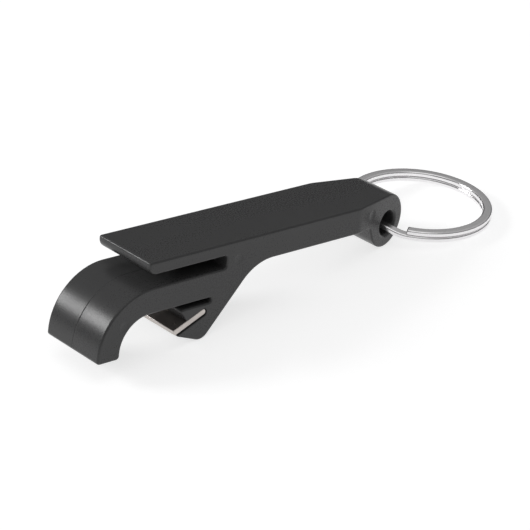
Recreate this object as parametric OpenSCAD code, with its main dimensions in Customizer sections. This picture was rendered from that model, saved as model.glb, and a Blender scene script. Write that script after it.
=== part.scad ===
// Keychain can and bottle opener: a moulded body, a pressed-in steel lip plate and a split ring.
// Frame: origin at the centre of the flat top face, +X from the hook to the ring end, +Z out of the top.
// The outline of the body is drawn in the XZ plane and runs straight through the width along Y.

/* [Body] */
// Width of the body across the flat sides (mm)
body_w = 15.1; // [10:0.1:25]
// Length of the flat top face, from the tongue's tip to the middle of the eye (mm)
flat_len = 63.4; // [50:0.1:100]
// Thickness of the handle bar (mm)
handle_t = 5.5; // [4:0.05:8]
// Radius of the blend between the handle's underside and the jaw (mm)
blend_r = 9.5; // [4:0.05:15]

/* [Can tab tongue] */
// Thickness of the tongue over the tab slot (mm)
tongue_t = 2.55; // [2:0.05:4]
// Radius under the tongue's tip (mm)
tongue_r = 1.85; // [0.5:0.05:2.6]
// Height of the slot that takes the can's tab (mm)
tab_slot_h = 2.6; // [2:0.05:4]
// Depth of the tab slot, from the tongue's tip (mm)
tab_slot_len = 18.8; // [12:0.05:26]
// Radius in the corners of the tab slot's end (mm)
tab_slot_r = 0.7; // [0.3:0.1:1.3]

/* [Hook] */
// Thickness of the arm between the tab slot and the cap mouth (mm)
arm_t = 5.2; // [4:0.05:8]
// Distance from the tongue's tip forward to the front of the hook (mm)
hook_reach = 10.65; // [5:0.05:20]
// Outer radius of the hook (mm)
hook_outer_r = 11.95; // [8:0.05:16]
// Inner radius of the hook (mm)
hook_inner_r = 6.4; // [4:0.1:9]
// Depth of the hook's foot below the top face (mm)
hook_depth = 17.85; // [15:0.05:25]
// Thickness of the hook's foot (mm)
foot_t = 5.15; // [3:0.05:8]

/* [Jaw] */
// Height of the spring slit under the arm (mm)
slit_h = 1; // [0.6:0.05:2]
// Distance of the slit's blind end from the hook's front (mm)
slit_end = 26.35; // [20:0.05:35]
// Slope of the jaw's straight back (degrees)
back_angle = 48.3; // [35:0.1:70]
// Radius of the jaw's tip (mm)
tip_r = 2.45; // [1.5:0.05:5]
// Distance of the jaw's tip behind the hook's front (mm)
tip_x = 24.25; // [18:0.05:35]
// Depth of the jaw's tip below the top face (mm)
tip_depth = 18.6; // [15:0.05:25]
// Length of the wedge over the lip plate, along the slit (mm)
wedge_len = 7.5; // [5:0.1:12]
// Length of bare plate in front of that wedge (mm)
bare_len = 3.4; // [1:0.1:6]
// Height of the jaw's chin under the plate (mm)
chin_h = 0.7; // [0.2:0.05:2]

/* [Lip plate] */
// Thickness of the steel plate (mm)
plate_t = 1.15; // [0.8:0.05:2]
// Length of the plate from its lip to its rounded inner edge (mm)
plate_len = 7.9; // [6:0.1:14]
// Slope of the plate (degrees)
plate_angle = 22.5; // [5:0.5:45]
// Distance of the lip behind the hook's front (mm)
lip_x = 17.6; // [14:0.1:24]
// Depth of the lip's upper edge below the top face (mm)
lip_depth = 15.2; // [12:0.05:20]
// Distance of the plate's ends inside the body's sides (mm)
plate_inset = 0.05; // [0:0.05:0.5]
// Height of the relief under the plate's two ends (mm)
relief_h = 0.4; // [0.1:0.05:0.7]
// Depth of that relief in from each side (mm)
relief_len = 2; // [0.5:0.1:4]

/* [Ring end] */
// Radius of the eye round the ring's bore (mm)
eye_r = 5.45; // [4:0.05:8]
// Radius of the handle's rounded end above the eye (mm)
end_r = 5.7; // [5:0.05:8]
// Length of the eye's sloping front, measured at the handle's underside (mm)
lug_len = 6.2; // [6:0.05:9]
// Radius of the cross bore for the ring (mm)
bore_r = 2.45; // [1.5:0.05:3.5]
// Distance of the bore behind the eye's middle (mm)
bore_back = 0.35; // [0:0.05:1]
// Distance of the bore below the eye's middle (mm)
bore_drop = 0.55; // [0:0.05:1]
// Radius of the bore's flared mouth (mm)
mouth_r = 3.25; // [2.5:0.05:4.5]
// Depth of the flare (mm)
mouth_depth = 1.1; // [0.5:0.1:3]
// Angle of the tapered sides at the ring end (degrees)
taper_angle = 13.4; // [0:0.1:20]
// Distance of the taper's start in front of the eye's middle (mm)
taper_len = 9.9; // [4:0.1:20]

/* [Split ring] */
// Outer diameter of the split ring (mm)
ring_od = 30; // [20:0.1:40]
// Radial width of the ring's flat wire (mm)
wire_w = 2; // [0.8:0.05:2.5]
// Thickness of one coil of the wire (mm)
wire_t = 1.15; // [0.6:0.05:2]
// Chamfer on the wire's outer edges (mm)
wire_c = 0.3; // [0.1:0.05:0.6]
// Arc at the bore that has a single wire (degrees)
climb_arc = 71; // [20:1:90]
// Arc over which the wire climbs from the lower coil to the upper one, at the near end of that (degrees)
climb_run = 30; // [20:1:60]
// Distance of the ring's centre behind the bore (mm)
ring_reach = 13.55; // [10:0.1:18]
// Sideways shift of the ring along the bore (mm)
ring_shift = -0.85; // [-3:0.05:3]
// Height of the ring's centre above the bore (mm)
ring_rise = -0.2; // [-1:0.05:1]
// Upward slope of the lying ring, away from the bore (degrees)
ring_slope = 2.9; // [-10:0.1:10]
// Sideways roll of the lying ring (degrees)
ring_roll = 2.6; // [-5:0.1:5]

/* [Hidden] */
$fn = 96;
eps = 0.01;
tongue_x = -flat_len / 2;                      // tongue's tip
front_x = tongue_x - hook_reach;               // front of the hook
hook_x = front_x + hook_outer_r;               // middle of the hook's outer round
arm_top = -tongue_t - tab_slot_h;              // level of the arm's upper face
arm_bottom = arm_top - arm_t;                  // level of the arm's lower face
hook_z = arm_top - hook_outer_r;               // middle of the hook's outer round
inner_x = front_x + foot_t + hook_inner_r;     // middle of the hook's inner round
inner_z = arm_bottom - hook_inner_r;
slit_bottom = arm_bottom - slit_h;
slit_x = front_x + slit_end;
eye_x = flat_len / 2;                          // middle of the eye
eye_z = -end_r;
end_x = eye_x + eye_r - end_r;                 // middle of the handle's rounded end
lug_x = eye_x - lug_len;
lug_gap = eye_z + handle_t;                    // the lug's corner lies this far above the eye's middle
// direction from the eye's middle to where the sloping front leaves its round
lug_turn = 180 + atan(lug_gap / lug_len) + acos(eye_r / norm([lug_len, lug_gap]));
bore_x = eye_x + bore_back;                    // axis of the cross bore, along Y
bore_z = eye_z - bore_drop;
taper_x = eye_x - taper_len;
tip_cx = front_x + tip_x;                      // middle of the jaw tip's round
tip_cz = tip_r - tip_depth;
back_dir = [cos(back_angle), sin(back_angle)]; // up the jaw's back
back_out = [sin(back_angle), -cos(back_angle)]; // out of the jaw's back
tip_tan = [tip_cx, tip_cz] + tip_r * back_out; // where the back leaves the tip's round
// the blend's middle lies blend_r outside the back and blend_r under the handle
blend_z = -handle_t - blend_r;
blend_run = (blend_z - tip_tan[1] - blend_r * back_out[1]) / back_dir[1];
blend_x = tip_tan[0] + blend_run * back_dir[0] + blend_r * back_out[0];
blend_tan = tip_tan + blend_run * back_dir;    // where the back meets the blend
lip = [front_x + lip_x, -lip_depth];           // upper edge of the plate's lip
plate_dir = [cos(plate_angle), sin(plate_angle)];
plate_down = [sin(plate_angle), -cos(plate_angle)];
jaw_front = lip + bare_len * plate_dir;        // where the wedge over the plate starts
chin = lip + (plate_t + chin_h) * plate_down + 0.6 * plate_dir; // front of the jaw under the plate
plate_in = lip + (plate_len - plate_t / 2) * plate_dir; // where the plate's inner round starts
ring_x = bore_x + ring_reach;
ring_z = bore_z + ring_rise;
mean_r = ring_od / 2 - wire_w / 2;

// Which part to draw

// A prism across the width, from an outline given as [x, z] points.
module slab(outline, w = body_w) {
    rotate([90, 0, 0])
        linear_extrude(height = w, center = true)
            polygon(outline);
}

// A round bar across the width.
module rod(x, z, r, w = body_w) {
    translate([x, 0, z])
        rotate([90, 0, 0])
            cylinder(r = r, h = w, center = true);
}

// An upright block across the width, between two x and two z levels.
module block(x0, x1, z0, z1, w = body_w) {
    translate([x0, -w / 2, z0])
        cube([x1 - x0, w, z1 - z0]);
}

// The handle, with the tongue at its front end and the eye at its back end.
module handle() {
    block(tongue_x + tongue_r, tongue_x + tab_slot_len + 1, -tongue_t, 0);
    difference() {
        block(tongue_x, tongue_x + tongue_r + eps, -tongue_t, 0);
        difference() {
            block(tongue_x - 1, tongue_x + tongue_r, -tongue_t - 1, tongue_r - tongue_t, body_w + 2);
            rod(tongue_x + tongue_r, tongue_r - tongue_t, tongue_r, body_w + 4);
        }
    }
    block(tongue_x + tab_slot_len, end_x, -handle_t, 0);
    intersection() {
        rod(end_x, -end_r, end_r);
        block(end_x - end_r, eye_x + 2 * eye_r, -end_r, 0);
    }
    rod(eye_x, eye_z, eye_r);
    slab([
        [lug_x, -handle_t],
        [eye_x + eye_r * cos(lug_turn), eye_z + eye_r * sin(lug_turn)],
        [eye_x, eye_z],
        [eye_x, -handle_t + 1],
        [lug_x, -handle_t + 1],
    ]);
}

// The arm and its hook, which pulls over the far side of the cap.
module hook() {
    block(hook_x, slit_x + 1, arm_bottom, arm_top);
    difference() {
        union() {
            rod(hook_x, hook_z, hook_outer_r);
            block(front_x, hook_x, -hook_depth, hook_z);
        }
        block(hook_x, hook_x + 2 * hook_outer_r, -2 * hook_depth, 0, body_w + 2);
        block(front_x - 1, hook_x + 1, -2 * hook_depth, -hook_depth, body_w + 2);
        rod(inner_x, inner_z, hook_inner_r, body_w + 2);
        block(front_x + foot_t, inner_x + 1, -2 * hook_depth, inner_z, body_w + 2);
    }
}

// The jaw behind the cap mouth: a wedge over the plate, the rounded tip under it and a straight back.
module jaw() {
    slab([
        [slit_x - wedge_len, slit_bottom],
        jaw_front,
        jaw_front + plate_down * plate_t / 2,
        lip + plate_down * plate_t / 2 + 0.6 * plate_dir,
        chin,
        [tip_cx - tip_r * sin(20), tip_cz - tip_r * cos(20)],
        [tip_cx, tip_cz],
        tip_tan,
        blend_tan,
        [blend_x, blend_z],
        [blend_x, -handle_t + eps],
        [tongue_x + tab_slot_len, -handle_t + eps],
        [tongue_x + tab_slot_len, arm_top],
        [slit_x, arm_top],
        [slit_x, slit_bottom],
    ]);
    rod(tip_cx, tip_cz, tip_r);
}

// The plate, from its lip to its rounded inner edge, or the slot that it fills.
module plate_shape(w, over = 0) {
    start = lip - over * plate_dir;
    round_mid = plate_in + plate_t / 2 * plate_down;
    slab([start, plate_in, plate_in + plate_t * plate_down, start + plate_t * plate_down], w);
    rod(round_mid[0], round_mid[1], plate_t / 2, w);
}

// The relief under the plate's end on one side.
module plate_relief() {
    under = plate_t + relief_h;
    translate([0, -body_w / 2, 0])
        slab([lip, plate_in, plate_in + under * plate_down, lip + under * plate_down], 2 * relief_len);
}

// Wedge-shaped space beside the body where its side tapers towards the ring end.
module taper_cut() {
    run = 20;
    translate([0, 0, -3 * eye_r])
        linear_extrude(height = 4 * eye_r)
            polygon([
                [taper_x, body_w / 2],
                [taper_x + run, body_w / 2 - run * tan(taper_angle)],
                [taper_x + run, body_w],
                [taper_x, body_w],
            ]);
}

// The cross bore with a flared mouth in each tapered side.
module ring_bore() {
    side_y = body_w / 2 - (bore_x - taper_x) * tan(taper_angle);
    rod(bore_x, bore_z, bore_r, body_w + 2);
    for (side = [0, 1])
        mirror([0, side, 0])
            translate([bore_x, side_y, bore_z])
                rotate([-90, 0, -taper_angle])
                    translate([0, 0, -mouth_depth])
                        cylinder(r1 = bore_r, r2 = 2 * mouth_r - bore_r, h = 2 * mouth_depth);
}

// The one-piece moulded body.
module body() {
    color([0.05, 0.05, 0.055])
        difference() {
            union() {
                handle();
                hook();
                jaw();
            }
            // tab slot under the tongue, with small radii in its blind end
            block(tongue_x - 1, tongue_x + tab_slot_len - tab_slot_r, arm_top, -tongue_t, body_w + 2);
            block(tongue_x, tongue_x + tab_slot_len, arm_top + tab_slot_r, -tongue_t - tab_slot_r, body_w + 2);
            for (z = [arm_top + tab_slot_r, -tongue_t - tab_slot_r])
                rod(tongue_x + tab_slot_len - tab_slot_r, z, tab_slot_r, body_w + 2);
            // spring slit under the arm
            block(inner_x, slit_x - slit_h / 2, slit_bottom, arm_bottom, body_w + 2);
            rod(slit_x - slit_h / 2, slit_bottom + slit_h / 2, slit_h / 2, body_w + 2);
            // blend between the jaw's back and the handle
            rod(blend_x, blend_z, blend_r, body_w + 2);
            plate_shape(body_w + 2, 4);
            ring_bore();
            for (side = [0, 1])
                mirror([0, side, 0]) {
                    taper_cut();
                    plate_relief();
                }
        }
}

// The steel plate whose front edge lifts the cap's rim.
module lip_plate() {
    color([0.75, 0.73, 0.7])
        plate_shape(body_w - 2 * plate_inset);
}

// One flat coil of the ring's wire, upright from z = 0, over part of a turn.
module coil(arc) {
    rotate_extrude(angle = arc)
        polygon([
            [ring_od / 2 - wire_w, 0],
            [ring_od / 2 - wire_c, 0],
            [ring_od / 2, wire_c],
            [ring_od / 2, wire_t - wire_c],
            [ring_od / 2 - wire_c, wire_t],
            [ring_od / 2 - wire_w, wire_t],
        ]);
}

// The wire's climb between the coils: a sloping slice of the ring's full height.
module climb() {
    slope = atan(wire_t / (2 * mean_r * sin(climb_run / 2 + 0.6)));
    intersection() {
        rotate([0, 0, -climb_run / 2 - 1])
            translate([0, 0, -wire_t])
                rotate_extrude(angle = climb_run + 2)
                    translate([ring_od / 2 - wire_w, 0])
                        square([wire_w, 2 * wire_t]);
        rotate([-slope, 0, 0])
            translate([0, -ring_od, -wire_t / 2])
                cube([ring_od, 2 * ring_od, wire_t]);
    }
}

// The split ring lying in its rest position, threaded through the bore.
module split_ring() {
    color([0.72, 0.71, 0.72])
        translate([ring_x, ring_shift, ring_z])
            rotate([ring_roll, -ring_slope, 0])
                rotate([0, 0, 180]) {
                    rotate([0, 0, climb_arc / 2])
                        coil(360 - climb_run);
                    rotate([0, 0, climb_arc / 2])
                        translate([0, 0, -wire_t])
                            coil(360 - climb_arc);
                    rotate([0, 0, (climb_arc - climb_run) / 2])
                        climb();
                }
}

body();
lip_plate();
split_ring();
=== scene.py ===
"""A keychain bottle opener: a moulded body, a pressed-in steel lip plate and a split ring.

The outline of the body and of the plate is drawn in the XZ plane, in millimetres, from the dimensions
that the CAD part is built on. A prism carries it across the width. The ring is swept along its wire.
"""

import math

import bmesh
import bpy
from mathutils import Matrix, Vector


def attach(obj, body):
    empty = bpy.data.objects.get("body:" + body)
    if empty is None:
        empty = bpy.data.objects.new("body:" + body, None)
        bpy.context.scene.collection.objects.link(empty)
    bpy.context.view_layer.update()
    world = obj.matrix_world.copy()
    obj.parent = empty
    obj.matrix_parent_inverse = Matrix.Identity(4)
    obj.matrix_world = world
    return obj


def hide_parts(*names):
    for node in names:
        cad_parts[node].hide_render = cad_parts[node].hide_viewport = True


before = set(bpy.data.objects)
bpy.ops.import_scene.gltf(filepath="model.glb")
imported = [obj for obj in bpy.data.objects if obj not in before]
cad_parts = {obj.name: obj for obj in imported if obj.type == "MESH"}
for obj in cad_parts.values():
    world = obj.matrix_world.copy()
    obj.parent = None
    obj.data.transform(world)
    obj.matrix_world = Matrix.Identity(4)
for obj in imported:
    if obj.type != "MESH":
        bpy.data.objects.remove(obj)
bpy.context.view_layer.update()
MM = 0.001

# ---------------------------------------------------------------- dimensions (mm)
# These are the part's own, but for RELIEF_H and MOUTH_DEPTH, which are 0.02 and 0.2 deeper here.
BODY_W = 15.1
FLAT_LEN = 63.4
HANDLE_T = 5.5
BLEND_R = 9.5
TONGUE_T = 2.55
TONGUE_R = 1.85
TAB_SLOT_H = 2.6
TAB_SLOT_LEN = 18.8
TAB_SLOT_R = 0.7
ARM_T = 5.2
HOOK_REACH = 10.65
HOOK_OUTER_R = 11.95
HOOK_INNER_R = 6.4
HOOK_DEPTH = 17.85
FOOT_T = 5.15
SLIT_H = 1.0
SLIT_END = 26.35
BACK_ANGLE = math.radians(48.3)
TIP_R = 2.45
TIP_X = 24.25
TIP_DEPTH = 18.6
WEDGE_LEN = 7.5
BARE_LEN = 3.4
CHIN_H = 0.7
CHIN_SET = 0.6
PLATE_T = 1.15
PLATE_LEN = 7.9
PLATE_ANGLE = math.radians(22.5)
LIP_X = 17.6
LIP_DEPTH = 15.2
PLATE_INSET = 0.05
RELIEF_H = 0.42
RELIEF_LEN = 2.0
EYE_R = 5.45
END_R = 5.7
LUG_LEN = 6.2
BORE_R = 2.45
BORE_BACK = 0.35
BORE_DROP = 0.55
MOUTH_R = 3.25
MOUTH_DEPTH = 1.3
TAPER_ANGLE = math.radians(13.4)
TAPER_LEN = 9.9
RING_OD = 30.0
WIRE_W = 2.0
WIRE_T = 1.15
CLIMB_ARC = 71.0
CLIMB_RUN = 30.0
RING_REACH = 13.55
RING_SHIFT = -0.85
RING_RISE = -0.2
RING_SLOPE = math.radians(2.9)
RING_ROLL = math.radians(2.6)

# ---------------------------------------------------------------- finish of the edges (mm)
EDGE_R = 0.42          # round along the edges of the moulded sides
EDGE_STEPS = 5
SLOT_EDGE = 0.2        # share of that round along the plate's slot
CORNER_R = 0.45        # round in the outline's own corners
FOOT_R = 0.75          # round in the corners of the hook's foot
TAPER_SOFT = 0.7       # half the length over which the side bends into its taper
SEAM_W = 0.16          # parting line of the two mould halves
SEAM_DEPTH = 0.05
MARK_R = 1.12          # round witness marks of the ejector pins
MARK_DEPTH = 0.03
MARKS = ((-10.0, -3.8), (-36.6, -11.45), (25.85, -2.7))    # their places on each side, as (x, z)
CHIN_EDGE_R = 0.1      # rounds of the jaw's chin, at the slot and at its front
CHIN_R = 0.12
LUG_R = 0.8            # round between the handle and the lug
PLATE_EDGE_R = 0.12    # dulled edges of the steel plate: its ends, its lip and the lip's lower corner
LIP_R = 0.16
LIP_LOWER_R = 0.22
WIRE_R = 0.36          # round corners of the ring's flat wire
WIRE_BULGE = 0.05      # how far its narrow sides bulge
WIRE_SLACK = 0.015     # how far each coil stays off the plane between the coils
CUT_ROUND = ((0.2, 0.80), (0.13, 0.93))    # at the wire's ends: (past the last full section, its scale)

# ---------------------------------------------------------------- fineness of the meshes
ARC_STEP = math.radians(5)
FILLET_STEP = math.radians(6)
FEWEST_STEPS = 6
SLOT_STEPS = 14
PLATE_STEPS = 16
PLATE_EDGE_STEPS = 4
CIRCLE_STEPS = 72
MARK_STEPS = 40
MOUTH_STEPS = 8
TAPER_CUTS = 6
WIRE_STEPS = 7
RING_STEPS = 300
UV_LENGTH = 100        # mm of wire to one unit of its UV map
SAME_POINT = 1e-4      # mm
WELD = 1e-7            # m
MITRE_LIMIT = 0.3      # keeps an inset bounded in a tight corner of the outline
SHARP = math.radians(38)
WIRE_SHARP = math.radians(60)
LARGE_FACES = 100      # the weight that lets the largest faces decide the normals

# ---------------------------------------------------------------- derived places
TONGUE_X = -FLAT_LEN / 2
FRONT_X = TONGUE_X - HOOK_REACH
ARM_TOP = -TONGUE_T - TAB_SLOT_H
ARM_BOTTOM = ARM_TOP - ARM_T
SLIT_BOTTOM = ARM_BOTTOM - SLIT_H
SLIT_X = FRONT_X + SLIT_END
SLIT_R = SLIT_H / 2 - 0.01    # a hair under half, so that its two rounds leave a line between them
EYE_X = FLAT_LEN / 2
END_X = EYE_X + EYE_R - END_R
LUG_X = EYE_X - LUG_LEN
LUG_GAP = HANDLE_T - END_R
LUG_SPAN = math.hypot(LUG_LEN, LUG_GAP)
LUG_TURN = math.pi + math.atan(LUG_GAP / LUG_LEN) + math.acos(EYE_R / LUG_SPAN)
BORE_X = EYE_X + BORE_BACK
BORE_Z = -END_R - BORE_DROP
TAPER_X = EYE_X - TAPER_LEN
TIP = Vector((FRONT_X + TIP_X, TIP_R - TIP_DEPTH))
BACK_DIR = Vector((math.cos(BACK_ANGLE), math.sin(BACK_ANGLE)))
BACK_OUT = Vector((math.sin(BACK_ANGLE), -math.cos(BACK_ANGLE)))
TIP_TAN = TIP + TIP_R * BACK_OUT
TIP_START = math.radians(250)
BLEND_Z = -HANDLE_T - BLEND_R
BLEND_RUN = (BLEND_Z - TIP_TAN.y - BLEND_R * BACK_OUT.y) / BACK_DIR.y
BLEND_X = TIP_TAN.x + BLEND_RUN * BACK_DIR.x + BLEND_R * BACK_OUT.x
LIP = Vector((FRONT_X + LIP_X, -LIP_DEPTH))
PLATE_DIR = Vector((math.cos(PLATE_ANGLE), math.sin(PLATE_ANGLE)))
PLATE_DOWN = Vector((math.sin(PLATE_ANGLE), -math.cos(PLATE_ANGLE)))
WEDGE_FOOT = LIP + BARE_LEN * PLATE_DIR
CHIN = LIP + (PLATE_T + CHIN_H) * PLATE_DOWN + CHIN_SET * PLATE_DIR
PLATE_IN = LIP + (PLATE_LEN - PLATE_T / 2) * PLATE_DIR
PLATE_ROUND = PLATE_IN + PLATE_T / 2 * PLATE_DOWN
HALF_W = BODY_W / 2
MEAN_R = (RING_OD - WIRE_W) / 2
FLOOR_SLOPE = math.atan2(-EYE_R - END_R + TIP_DEPTH, EYE_X - TIP.x)


# ---------------------------------------------------------------- outlines
def turn(centre, radius, start, end, steps=None):
    """Points on an arc from one angle to another, in radians."""
    steps = steps or max(FEWEST_STEPS, math.ceil(abs(end - start) / ARC_STEP))
    points = []
    for k in range(steps + 1):
        a = start + (end - start) * k / steps
        points.append(Vector((centre[0] + radius * math.cos(a), centre[1] + radius * math.sin(a))))
    return points


def fillet(before, at, after, radius):
    """Points on the round of that radius in the corner at `at`."""
    u = (before - at).normalized()
    v = (after - at).normalized()
    half = u.angle(v) / 2
    centre = at + (u + v).normalized() * radius / math.sin(half)
    first = at + u * radius / math.tan(half) - centre
    last = at + v * radius / math.tan(half) - centre
    sweep = first.angle_signed(last)
    steps = max(FEWEST_STEPS, math.ceil(abs(sweep) / FILLET_STEP))
    points = []
    for k in range(steps + 1):
        points.append(centre + Matrix.Rotation(-sweep * k / steps, 2) @ first)
    return points


def outline(stops):
    """A closed outline through stops, each a list of points or (x, z, radius), a corner to round.

    A point that repeats the one before it is left out, also where the outline closes."""
    ends = []
    for stop in stops:
        if isinstance(stop, list):
            ends.append((stop[0], stop[-1]))
        else:
            ends.append((Vector(stop[:2]),) * 2)
    points = []
    for i, stop in enumerate(stops):
        if isinstance(stop, list):
            points += stop
        elif stop[2] == 0:
            points.append(Vector(stop[:2]))
        else:
            after = ends[(i + 1) % len(ends)][0]
            points += fillet(ends[i - 1][1], Vector(stop[:2]), after, stop[2])
    kept = []
    for p in points:
        if not kept or (p - kept[-1]).length > SAME_POINT:
            kept.append(p)
    if (kept[0] - kept[-1]).length < SAME_POINT:
        kept.pop()
    return kept


def corner(point, radius):
    """The stop of an outline at that point."""
    return (point.x, point.y, radius)


def body_outline(relief=0):
    """The moulded body, seen from its near side, counter-clockwise from the back of its rounded end.

    The plate's slot is deeper than the plate by the relief."""
    full = 2 * math.pi
    notch_in = PLATE_ANGLE + math.pi / 2
    notch = PLATE_T + relief
    return outline([
        turn((END_X, -END_R), END_R, 0, math.pi / 2),
        (TONGUE_X, 0, CORNER_R),
        (TONGUE_X, -TONGUE_T, TONGUE_R),
        (TONGUE_X + TAB_SLOT_LEN, -TONGUE_T, TAB_SLOT_R),
        (TONGUE_X + TAB_SLOT_LEN, ARM_TOP, TAB_SLOT_R),
        (FRONT_X, ARM_TOP, HOOK_OUTER_R),
        (FRONT_X, -HOOK_DEPTH, FOOT_R),
        (FRONT_X + FOOT_T, -HOOK_DEPTH, FOOT_R),
        (FRONT_X + FOOT_T, ARM_BOTTOM, HOOK_INNER_R),
        (SLIT_X, ARM_BOTTOM, SLIT_R),
        (SLIT_X, SLIT_BOTTOM, SLIT_R),
        (SLIT_X - WEDGE_LEN, SLIT_BOTTOM, CORNER_R),
        corner(WEDGE_FOOT, 0),
        turn(PLATE_IN + notch / 2 * PLATE_DOWN, notch / 2, notch_in, notch_in - math.pi, SLOT_STEPS),
        corner(LIP + notch * PLATE_DOWN + CHIN_SET * PLATE_DIR, CHIN_EDGE_R),
        corner(CHIN, CHIN_R),
        turn(TIP, TIP_R, TIP_START, full + BACK_ANGLE - math.pi / 2),
        turn((BLEND_X, BLEND_Z), BLEND_R, BACK_ANGLE + math.pi / 2, math.pi / 2),
        (LUG_X, -HANDLE_T, LUG_R),
        turn((EYE_X, -END_R), EYE_R, LUG_TURN, full),
    ])


# ---------------------------------------------------------------- meshes
def new_object(name, bm):
    """The finished mesh as an object in the scene."""
    mesh = bpy.data.meshes.new(name)
    bmesh.ops.recalc_face_normals(bm, faces=bm.faces)
    bm.to_mesh(mesh)
    bm.free()
    obj = bpy.data.objects.new(name, mesh)
    bpy.context.scene.collection.objects.link(obj)
    return obj


def inset_points(points, inset):
    """The outline moved inwards, by a distance or by a function of the point."""
    moved = []
    for i, p in enumerate(points):
        a = (p - points[i - 1]).normalized()
        b = (points[(i + 1) % len(points)] - p).normalized()
        na, nb = Vector((-a.y, a.x)), Vector((-b.y, b.x))
        step = inset(p) if callable(inset) else inset
        moved.append(p + (na + nb) * step / max(MITRE_LIMIT, 1 + na.dot(nb)))
    return moved


def prism(name, points, levels):
    """A solid across the width: rings of the outline at (y, inset), with a flat face on each end.

    points is the outline, or a function that gives the outline at y."""
    bm = bmesh.new()
    rings = []
    for y, inset in levels:
        moved = inset_points(points(y) if callable(points) else points, inset)
        rings.append([bm.verts.new((p.x * MM, y * MM, p.y * MM)) for p in moved])
    for low, high in zip(rings, rings[1:]):
        for i in range(len(low)):
            bm.faces.new((low[i - 1], low[i], high[i], high[i - 1]))
    bm.faces.new(rings[0])
    bm.faces.new(rings[-1])
    return new_object(name, bm)


def edge_levels(half, radius, steps, middle=(), inset=None):
    """Levels of a prism with round edges: half its width, the radius, and the levels between."""
    side = []
    for k in range(steps + 1):
        a = math.pi / 2 * k / steps
        depth = radius * (1 - math.cos(a))
        side.append((half - radius * (1 - math.sin(a)), inset(depth) if inset else depth))
    return [(-y, inset) for y, inset in reversed(side)] + list(middle) + side


def tube(name, rings):
    """A closed solid through rings of points given in millimetres."""
    bm = bmesh.new()
    made = [[bm.verts.new(p * MM) for p in ring] for ring in rings]
    for low, high in zip(made, made[1:]):
        for i in range(len(low)):
            bm.faces.new((low[i - 1], low[i], high[i], high[i - 1]))
    bm.faces.new(made[0])
    bm.faces.new(made[-1])
    bmesh.ops.triangulate(bm, faces=bm.faces)
    return new_object(name, bm)


def cut(obj, cutters):
    """Takes the cutters out of obj and removes them."""
    for cutter in cutters:
        mod = obj.modifiers.new("cut", "BOOLEAN")
        mod.operation = "DIFFERENCE"
        mod.solver = "EXACT"
        mod.object = cutter
    depsgraph = bpy.context.evaluated_depsgraph_get()
    mesh = bpy.data.meshes.new_from_object(obj.evaluated_get(depsgraph))
    obj.modifiers.clear()
    obj.data = mesh
    mesh.name = obj.name
    for cutter in cutters:
        bpy.data.objects.remove(cutter)


def finish_surface(obj, sharp):
    """Smooth shading with crisp edges, and flat faces kept flat."""
    bm = bmesh.new()
    bm.from_mesh(obj.data)
    bmesh.ops.remove_doubles(bm, verts=bm.verts, dist=WELD)
    bmesh.ops.dissolve_degenerate(bm, edges=bm.edges, dist=WELD)
    for face in bm.faces:
        face.smooth = True
    for edge in bm.edges:
        edge.smooth = edge.calc_face_angle(0) < sharp
    bm.to_mesh(obj.data)
    bm.free()
    mod = obj.modifiers.new("flat_faces", "WEIGHTED_NORMAL")
    mod.keep_sharp = True
    mod.weight = LARGE_FACES


def taper_depth(x):
    """How far the side lies in from the full width at x, with a soft start."""
    u = x - TAPER_X
    if u <= -TAPER_SOFT:
        return 0.0
    run = u if u >= TAPER_SOFT else (u + TAPER_SOFT) ** 2 / (4 * TAPER_SOFT)
    return run * math.tan(TAPER_ANGLE)


def taper_sides(obj):
    """Brings the sides in towards the ring end, after cutting faces where the taper starts."""
    bm = bmesh.new()
    bm.from_mesh(obj.data)
    for k in range(TAPER_CUTS + 1):
        x = TAPER_X + TAPER_SOFT * (2 * k / TAPER_CUTS - 1)
        whole = bm.verts[:] + bm.edges[:] + bm.faces[:]
        bmesh.ops.bisect_plane(bm, geom=whole, plane_co=(x * MM, 0, 0), plane_no=(1, 0, 0), dist=WELD)
    for v in bm.verts:
        v.co.y *= 1 - taper_depth(v.co.x / MM) / HALF_W
    bm.to_mesh(obj.data)
    bm.free()


def circle(x, y, z, radius, count=CIRCLE_STEPS):
    """Points round an axis along the width, at y."""
    ring = []
    for k in range(count):
        a = 2 * math.pi * k / count
        ring.append(Vector((x + radius * math.cos(a), y, z + radius * math.sin(a))))
    return ring


def bore_cutter():
    """The cross bore with its soft flared mouths, as one solid."""
    # each mouth as (y, radius): it opens a little more outside the body, so the cut has a clear rim
    past, past_flare = 0.6, 0.25
    rim, rim_flare = 0.02, 0.04
    profile = [(HALF_W + past, MOUTH_R + past_flare), (HALF_W + rim, MOUTH_R + rim_flare)]
    for k in range(MOUTH_STEPS + 1):
        a = math.pi / 2 * k / MOUTH_STEPS
        depth = MOUTH_DEPTH * (1 - math.cos(a))
        profile.append((HALF_W - depth, BORE_R + (MOUTH_R - BORE_R) * (1 - math.sin(a))))
    rings = [circle(BORE_X, -y, BORE_Z, radius) for y, radius in profile]
    rings += [circle(BORE_X, y, BORE_Z, radius) for y, radius in reversed(profile)]
    return tube("bore_cutter", rings)


def mark_cutter(x, z, side):
    """A shallow round witness mark with a soft rim."""
    past, flare = 0.3, 0.1
    rim_share, rim_flare = 0.3, 0.03
    floor_ring = (-MARK_DEPTH, MARK_R - flare)
    rim_ring = (-rim_share * MARK_DEPTH, MARK_R - rim_flare)
    rings = []
    for out, radius in (floor_ring, rim_ring, (past, MARK_R + flare)):
        rings.append(circle(x, side * (HALF_W + out), z, radius, MARK_STEPS))
    return tube("mark_cutter", rings)


def seam_depth(point):
    """The parting line runs all round the outline but for the top face."""
    top_band = 0.2
    return 0 if point.y > -top_band else SEAM_DEPTH


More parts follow.
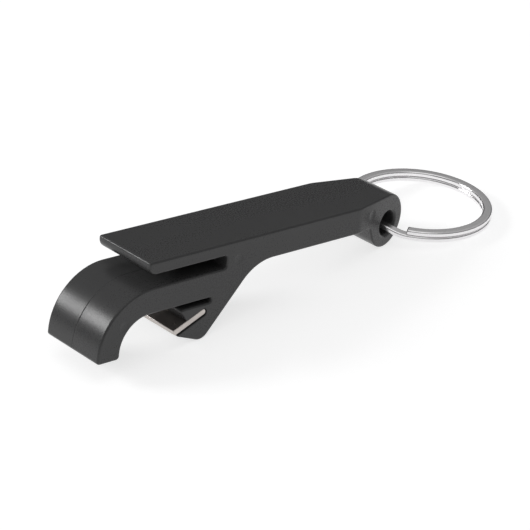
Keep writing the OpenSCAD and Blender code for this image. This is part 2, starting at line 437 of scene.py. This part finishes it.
def edge_inset(depth):
    """The round along the sides, which is tighter in and under the plate's slot."""
    margin, above, under = 0.5, 0.2, 0.1

    def inset(point):
        along = (point - LIP).dot(PLATE_DIR)
        below = (point - LIP).dot(PLATE_DOWN)
        in_length = -margin < along < PLATE_LEN + margin
        in_height = -above < below < PLATE_T + CHIN_H + under
        return depth * (SLOT_EDGE if in_length and in_height else 1)
    return inset


def make_body():
    """The moulded body with its parting line, bore, ejector marks and tapered ring end."""
    plain, relieved = body_outline(), body_outline(RELIEF_H)
    relief_y = HALF_W - RELIEF_LEN
    step = 0.02    # width over which the relief beside the plate starts

    def at_level(y):
        return relieved if abs(y) > relief_y else plain

    seam = [(-SEAM_W, 0), (-SEAM_W / 2, 0), (0, seam_depth), (SEAM_W / 2, 0), (SEAM_W, 0)]
    middle = [(-relief_y - step, 0), (-relief_y, 0), *seam, (relief_y, 0), (relief_y + step, 0)]
    obj = prism("opener_body", at_level, edge_levels(HALF_W, EDGE_R, EDGE_STEPS, middle, edge_inset))
    cutters = [bore_cutter()]
    for side in (-1, 1):
        for x, z in MARKS:
            cutters.append(mark_cutter(x, z, side))
    cut(obj, cutters)
    taper_sides(obj)
    finish_surface(obj, SHARP)
    return obj


def make_plate():
    """The steel plate, as wide as the body but for a slight inset."""
    half = HALF_W - PLATE_INSET
    back = PLATE_ANGLE + math.pi / 2
    points = outline([
        corner(LIP, LIP_R),
        turn(PLATE_ROUND, PLATE_T / 2, back, back - math.pi, PLATE_STEPS),
        corner(LIP + PLATE_T * PLATE_DOWN, LIP_LOWER_R),
    ])
    points.reverse()
    obj = prism("lip_plate_steel", points, edge_levels(half, PLATE_EDGE_R, PLATE_EDGE_STEPS))
    finish_surface(obj, SHARP)
    return obj


def wire_profile():
    """The flat wire's section as (radial, axial) offsets: rounded corners and slightly bulging sides."""
    a, b = WIRE_W / 2 - WIRE_BULGE, WIRE_T / 2 - WIRE_SLACK
    x, z = a - WIRE_R, b - WIRE_R
    rounded = []
    for quarter, centre in enumerate(((x, z), (-x, z), (-x, -z), (x, -z))):
        first = math.radians(90 * quarter)
        rounded += turn(centre, WIRE_R, first, math.radians(90 * quarter + 90), WIRE_STEPS)
    points = []
    for p in rounded:
        bulge = WIRE_BULGE * (1 - (p.y / b) ** 2) if abs(p.x) > x else 0
        points.append(Vector((p.x + math.copysign(bulge, p.x), p.y)))
    return points


def wire_height(turned):
    """Height of the wire's middle, from the angle it has turned since the cut end of the upper coil."""
    share = min(1.0, max(0.0, (turned - 360 + CLIMB_RUN) / CLIMB_RUN))
    return WIRE_T * (0.5 - share * share * (3 - 2 * share))


def make_ring():
    """The wire from its cut end on the upper coil to its cut end on the lower one.

    It makes nearly a turn, climbs down at the bore's near mouth, and runs on as the lower coil."""
    start = CLIMB_ARC / 2
    total = 720 - CLIMB_ARC
    place = Matrix.Translation((BORE_X + RING_REACH, RING_SHIFT, BORE_Z + RING_RISE))
    place = place @ Matrix.Rotation(-RING_SLOPE, 4, "Y") @ Matrix.Rotation(RING_ROLL, 4, "X")
    profile = wire_profile()
    bm = bmesh.new()
    uv = bm.loops.layers.uv.new("along_wire")
    # a station is (degrees turned, scale of the section, millimetres further along)
    stations = [(0.0, scale, -past) for past, scale in CUT_ROUND]
    stations += [(total * k / RING_STEPS, 1.0, 0.0) for k in range(RING_STEPS + 1)]
    stations += [(total, scale, past) for past, scale in reversed(CUT_ROUND)]
    rings, along = [], []
    for turned, scale, further in stations:
        angle = math.radians(start + turned) + further / MEAN_R
        radial = Vector((-math.cos(angle), -math.sin(angle), 0))
        slope = wire_height(turned + 0.5) - wire_height(turned - 0.5)
        slope /= MEAN_R * math.radians(1)
        tangent = Vector((math.sin(angle), -math.cos(angle), slope)).normalized()
        up = radial.cross(tangent).normalized()
        up = up if up.z > 0 else -up
        middle = radial * MEAN_R + Vector((0, 0, wire_height(turned)))
        ring = []
        for p in profile:
            ring.append(bm.verts.new(place @ (middle + (radial * p.x + up * p.y) * scale) * MM))
        rings.append(ring)
        along.append(angle * MEAN_R)
    count = len(profile)
    for n, (low, high) in enumerate(zip(rings, rings[1:])):
        for i in range(count):
            face = bm.faces.new((low[i - 1], low[i], high[i], high[i - 1]))
            places = ((i - 1, along[n]), (i, along[n]), (i, along[n + 1]), (i - 1, along[n + 1]))
            for loop, (across, length) in zip(face.loops, places):
                loop[uv].uv = (length / UV_LENGTH, (across + 1) / count)
    bm.faces.new(rings[0])
    bm.faces.new(rings[-1])
    obj = new_object("split_ring_steel", bm)
    finish_surface(obj, WIRE_SHARP)
    return obj


# ---------------------------------------------------------------- materials
class Nodes:
    """A material's node tree, with short calls for the nodes used here."""

    def __init__(self, name):
        self.material = bpy.data.materials.new(name)
        self.material.use_nodes = True
        self.tree = self.material.node_tree
        self.shader = self.tree.nodes["Principled BSDF"]

    def add(self, kind, inputs=None, **settings):
        node = self.tree.nodes.new(kind)
        for key, value in settings.items():
            setattr(node, key, value)
        for key, value in (inputs or {}).items():
            self.put(node, key, value)
        return node

    def put(self, node, key, value):
        if isinstance(value, bpy.types.NodeSocket):
            self.tree.links.new(value, node.inputs[key])
        else:
            node.inputs[key].default_value = value

    def noise(self, vector, scale, detail=3.0, rough=0.5):
        inputs = {"Vector": vector, "Scale": scale, "Detail": detail, "Roughness": rough}
        return self.add("ShaderNodeTexNoise", inputs).outputs["Fac"]

    def mapped(self, vector, scale):
        return self.add("ShaderNodeMapping", {"Vector": vector, "Scale": scale}).outputs["Vector"]

    def band(self, value, low, high, to_low=0.0, to_high=1.0):
        inputs = {"Value": value, "From Min": low, "From Max": high, "To Min": to_low, "To Max": to_high}
        return self.add("ShaderNodeMapRange", inputs).outputs["Result"]

    def colour(self, value, low, high):
        ramp = self.add("ShaderNodeValToRGB", {"Fac": value})
        ramp.color_ramp.elements[0].color = (*low, 1)
        ramp.color_ramp.elements[1].color = (*high, 1)
        return ramp.outputs["Color"]

    def maths(self, operation, a, b):
        node = self.add("ShaderNodeMath", operation=operation)
        self.put(node, 0, a)
        self.put(node, 1, b)
        return node.outputs["Value"]

    def bump(self, height, distance, strength, normal=None):
        inputs = {"Height": height, "Distance": distance, "Strength": strength}
        if normal is not None:
            inputs["Normal"] = normal
        return self.add("ShaderNodeBump", inputs).outputs["Normal"]


def plastic_material():
    """Satin black moulded plastic: a fine moulded grain, mottling and long flow streaks."""
    n = Nodes("moulded_black_plastic")
    place = n.add("ShaderNodeTexCoord").outputs["Object"]
    grain = n.noise(place, scale=3200.0, detail=4.0, rough=0.6)
    mottle = n.noise(place, scale=260.0, detail=3.0, rough=0.5)
    flow = n.noise(n.mapped(place, (0.25, 1.0, 1.0)), scale=90.0, detail=2.0, rough=0.5)
    mottle_share, grain_share = 0.45, 0.55
    mottled = n.maths("MULTIPLY", mottle, mottle_share)
    shade = n.maths("ADD", mottled, n.maths("MULTIPLY", grain, grain_share))
    black, lighter = (0.045, 0.045, 0.0455), (0.050, 0.050, 0.0505)
    n.put(n.shader, "Base Color", n.colour(n.band(shade, 0.3, 0.7), black, lighter))
    streaks = n.band(flow, 0.3, 0.7, to_low=0.0, to_high=0.05)
    satin = n.band(grain, 0.3, 0.7, to_low=0.23, to_high=0.29)
    n.put(n.shader, "Roughness", n.maths("ADD", streaks, satin))
    fine = n.bump(grain, distance=0.00002, strength=0.07)
    n.put(n.shader, "Normal", n.bump(mottle, distance=0.00003, strength=0.06, normal=fine))
    n.put(n.shader, "IOR", 1.5)
    n.put(n.shader, "Specular IOR Level", 0.27)
    return n.material


def plate_material():
    """Cold-rolled steel sheet, brushed along its width, with patches of a duller tone."""
    n = Nodes("lip_plate_brushed_steel")
    place = n.add("ShaderNodeTexCoord").outputs["Object"]
    brush = n.noise(n.mapped(place, (1.0, 0.03, 1.0)), scale=9000.0, detail=3.0, rough=0.6)
    patch = n.noise(place, scale=500.0, detail=3.0, rough=0.5)
    n.put(n.shader, "Metallic", 1.0)
    dull, bright = (0.50, 0.46, 0.435), (0.58, 0.54, 0.51)
    n.put(n.shader, "Base Color", n.colour(n.band(patch, 0.3, 0.7), dull, bright))
    n.put(n.shader, "Roughness", n.band(brush, 0.3, 0.7, to_low=0.26, to_high=0.42))
    n.put(n.shader, "Normal", n.bump(brush, distance=0.00001, strength=0.35))
    return n.material


def ring_material():
    """Nickel-plated spring steel: bright, with faint drawing lines along the wire and small scuffs."""
    n = Nodes("ring_polished_nickel")
    along = n.add("ShaderNodeUVMap", uv_map="along_wire").outputs["UV"]
    place = n.add("ShaderNodeTexCoord").outputs["Object"]
    drawn = n.noise(n.mapped(along, (6.0, 90.0, 1.0)), scale=1.0, detail=3.0, rough=0.6)
    scuff = n.noise(place, scale=1400.0, detail=4.0, rough=0.65)
    n.put(n.shader, "Metallic", 1.0)
    dull, bright = (0.82, 0.81, 0.82), (0.88, 0.87, 0.875)
    n.put(n.shader, "Base Color", n.colour(n.band(scuff, 0.35, 0.75), dull, bright))
    lines = n.band(drawn, 0.3, 0.7, to_low=0.15, to_high=0.21)
    scuffs = n.band(scuff, 0.4, 0.8, to_low=0.0, to_high=0.08)
    n.put(n.shader, "Roughness", n.maths("ADD", lines, scuffs))
    n.put(n.shader, "Normal", n.bump(drawn, distance=0.000006, strength=0.08))
    return n.material


def floor_material():
    """Plain white, which glows a little so that it stays white away from the lights."""
    n = Nodes("white_floor")
    place = n.add("ShaderNodeTexCoord").outputs["Object"]
    low, high = (0.49, 0.49, 0.492), (0.51, 0.51, 0.512)
    n.put(n.shader, "Base Color", n.colour(n.noise(place, scale=12.0), low, high))
    n.put(n.shader, "Roughness", 1.0)
    n.put(n.shader, "Specular IOR Level", 0.0)
    n.put(n.shader, "Emission Color", (1.0, 1.0, 1.0, 1.0))
    n.put(n.shader, "Emission Strength", 0.70)
    return n.material


# ---------------------------------------------------------------- the object
PIECES = (
    (make_body, plastic_material, "opener", "body", "body_plastic"),
    (make_plate, plate_material, "opener", "lip_plate", "plate_steel"),
    (make_ring, ring_material, "ring", "split_ring", "ring_steel"),
)
for make, material, body, node, slot in PIECES:
    piece = make()
    finish = material()
    piece.data.materials.clear()
    piece.data.materials.append(finish)
    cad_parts[node].data.materials.clear()
    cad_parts[node].data.materials.append(finish)
    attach(piece, body)
    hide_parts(node)

# ---------------------------------------------------------------- floor
# the opener rests on its jaw tip and its eye, so in the part's frame the floor slopes up to the ring
FLOOR_HALF = 30.0    # m
bm = bmesh.new()
bmesh.ops.create_grid(bm, x_segments=1, y_segments=1, size=FLOOR_HALF)
floor = new_object("floor", bm)
floor.data.materials.append(floor_material())
floor.matrix_world = (
    Matrix.Translation((TIP.x * MM, 0, -TIP_DEPTH * MM)) @ Matrix.Rotation(-FLOOR_SLOPE, 4, "Y")
)

# ---------------------------------------------------------------- camera
# fitted to the photograph together with the dimensions: the lens in mm, the place in m
LENS = 148.95
CAM_RIGHT = Vector((0.74008, -0.66535, 0.09795))
CAM_UP = Vector((0.20316, 0.36003, 0.91055))
CAM_PLACE = Vector((-0.26868, -0.27842, 0.15977))
cam = bpy.data.objects.new("camera", bpy.data.cameras.new("camera"))
bpy.context.scene.collection.objects.link(cam)
cam.data.lens = LENS
cam.data.sensor_width = 36.0
cam.data.clip_start = 0.01
cam.data.clip_end = 20.0
cam_turn = Matrix((CAM_RIGHT, CAM_UP, CAM_RIGHT.cross(CAM_UP))).transposed()
cam.matrix_world = Matrix.Translation(CAM_PLACE) @ cam_turn.to_4x4()
bpy.context.scene.camera = cam


# ---------------------------------------------------------------- light
LIGHT_AIM = Vector((0.0, 0.0, -0.01))


def area(name, direction, distance, width, height, power):
    """A soft box in that direction from the object, facing it. Metres and watts."""
    data = bpy.data.lights.new(name, "AREA")
    data.shape = "RECTANGLE"
    data.size = width
    data.size_y = height
    data.energy = power
    light = bpy.data.objects.new(name, data)
    bpy.context.scene.collection.objects.link(light)
    out = Vector(direction).normalized()
    light.location = LIGHT_AIM + out * distance
    light.rotation_mode = "QUATERNION"
    light.rotation_quaternion = out.to_track_quat("Z", "Y")


area("key_back_left", (-0.65, 0.66, 0.37), distance=0.9, width=0.32, height=0.24, power=3.9)
area("overhead", (-0.25, -0.15, 1.0), distance=1.1, width=0.9, height=0.9, power=1.5)
area("front_fill", (-0.62, -0.72, 0.32), distance=1.2, width=1.0, height=1.0, power=0.6)


def studio_world(low, high, edge_from, edge_to):
    """A studio that is dim low down and lighter overhead, with a soft edge between those heights.

    A height is the upward part of a direction, from 0 at the horizon to 1 straight up."""
    world = bpy.data.worlds.new("studio")
    world.use_nodes = True
    tree = world.node_tree
    place = tree.nodes.new("ShaderNodeTexCoord")
    split = tree.nodes.new("ShaderNodeSeparateXYZ")
    ramp = tree.nodes.new("ShaderNodeMapRange")
    ramp.interpolation_type = "SMOOTHSTEP"
    ramp.inputs["From Min"].default_value = edge_from
    ramp.inputs["From Max"].default_value = edge_to
    ramp.inputs["To Min"].default_value = low
    ramp.inputs["To Max"].default_value = high
    tree.nodes["Background"].inputs["Color"].default_value = (1.0, 1.0, 1.0, 1.0)
    tree.links.new(place.outputs["Generated"], split.inputs[0])
    tree.links.new(split.outputs["Z"], ramp.inputs["Value"])
    tree.links.new(ramp.outputs["Result"], tree.nodes["Background"].inputs["Strength"])
    bpy.context.scene.world = world


studio_world(low=0.05, high=0.42, edge_from=0.40, edge_to=0.50)
bpy.context.scene.view_settings.view_transform = "Standard"
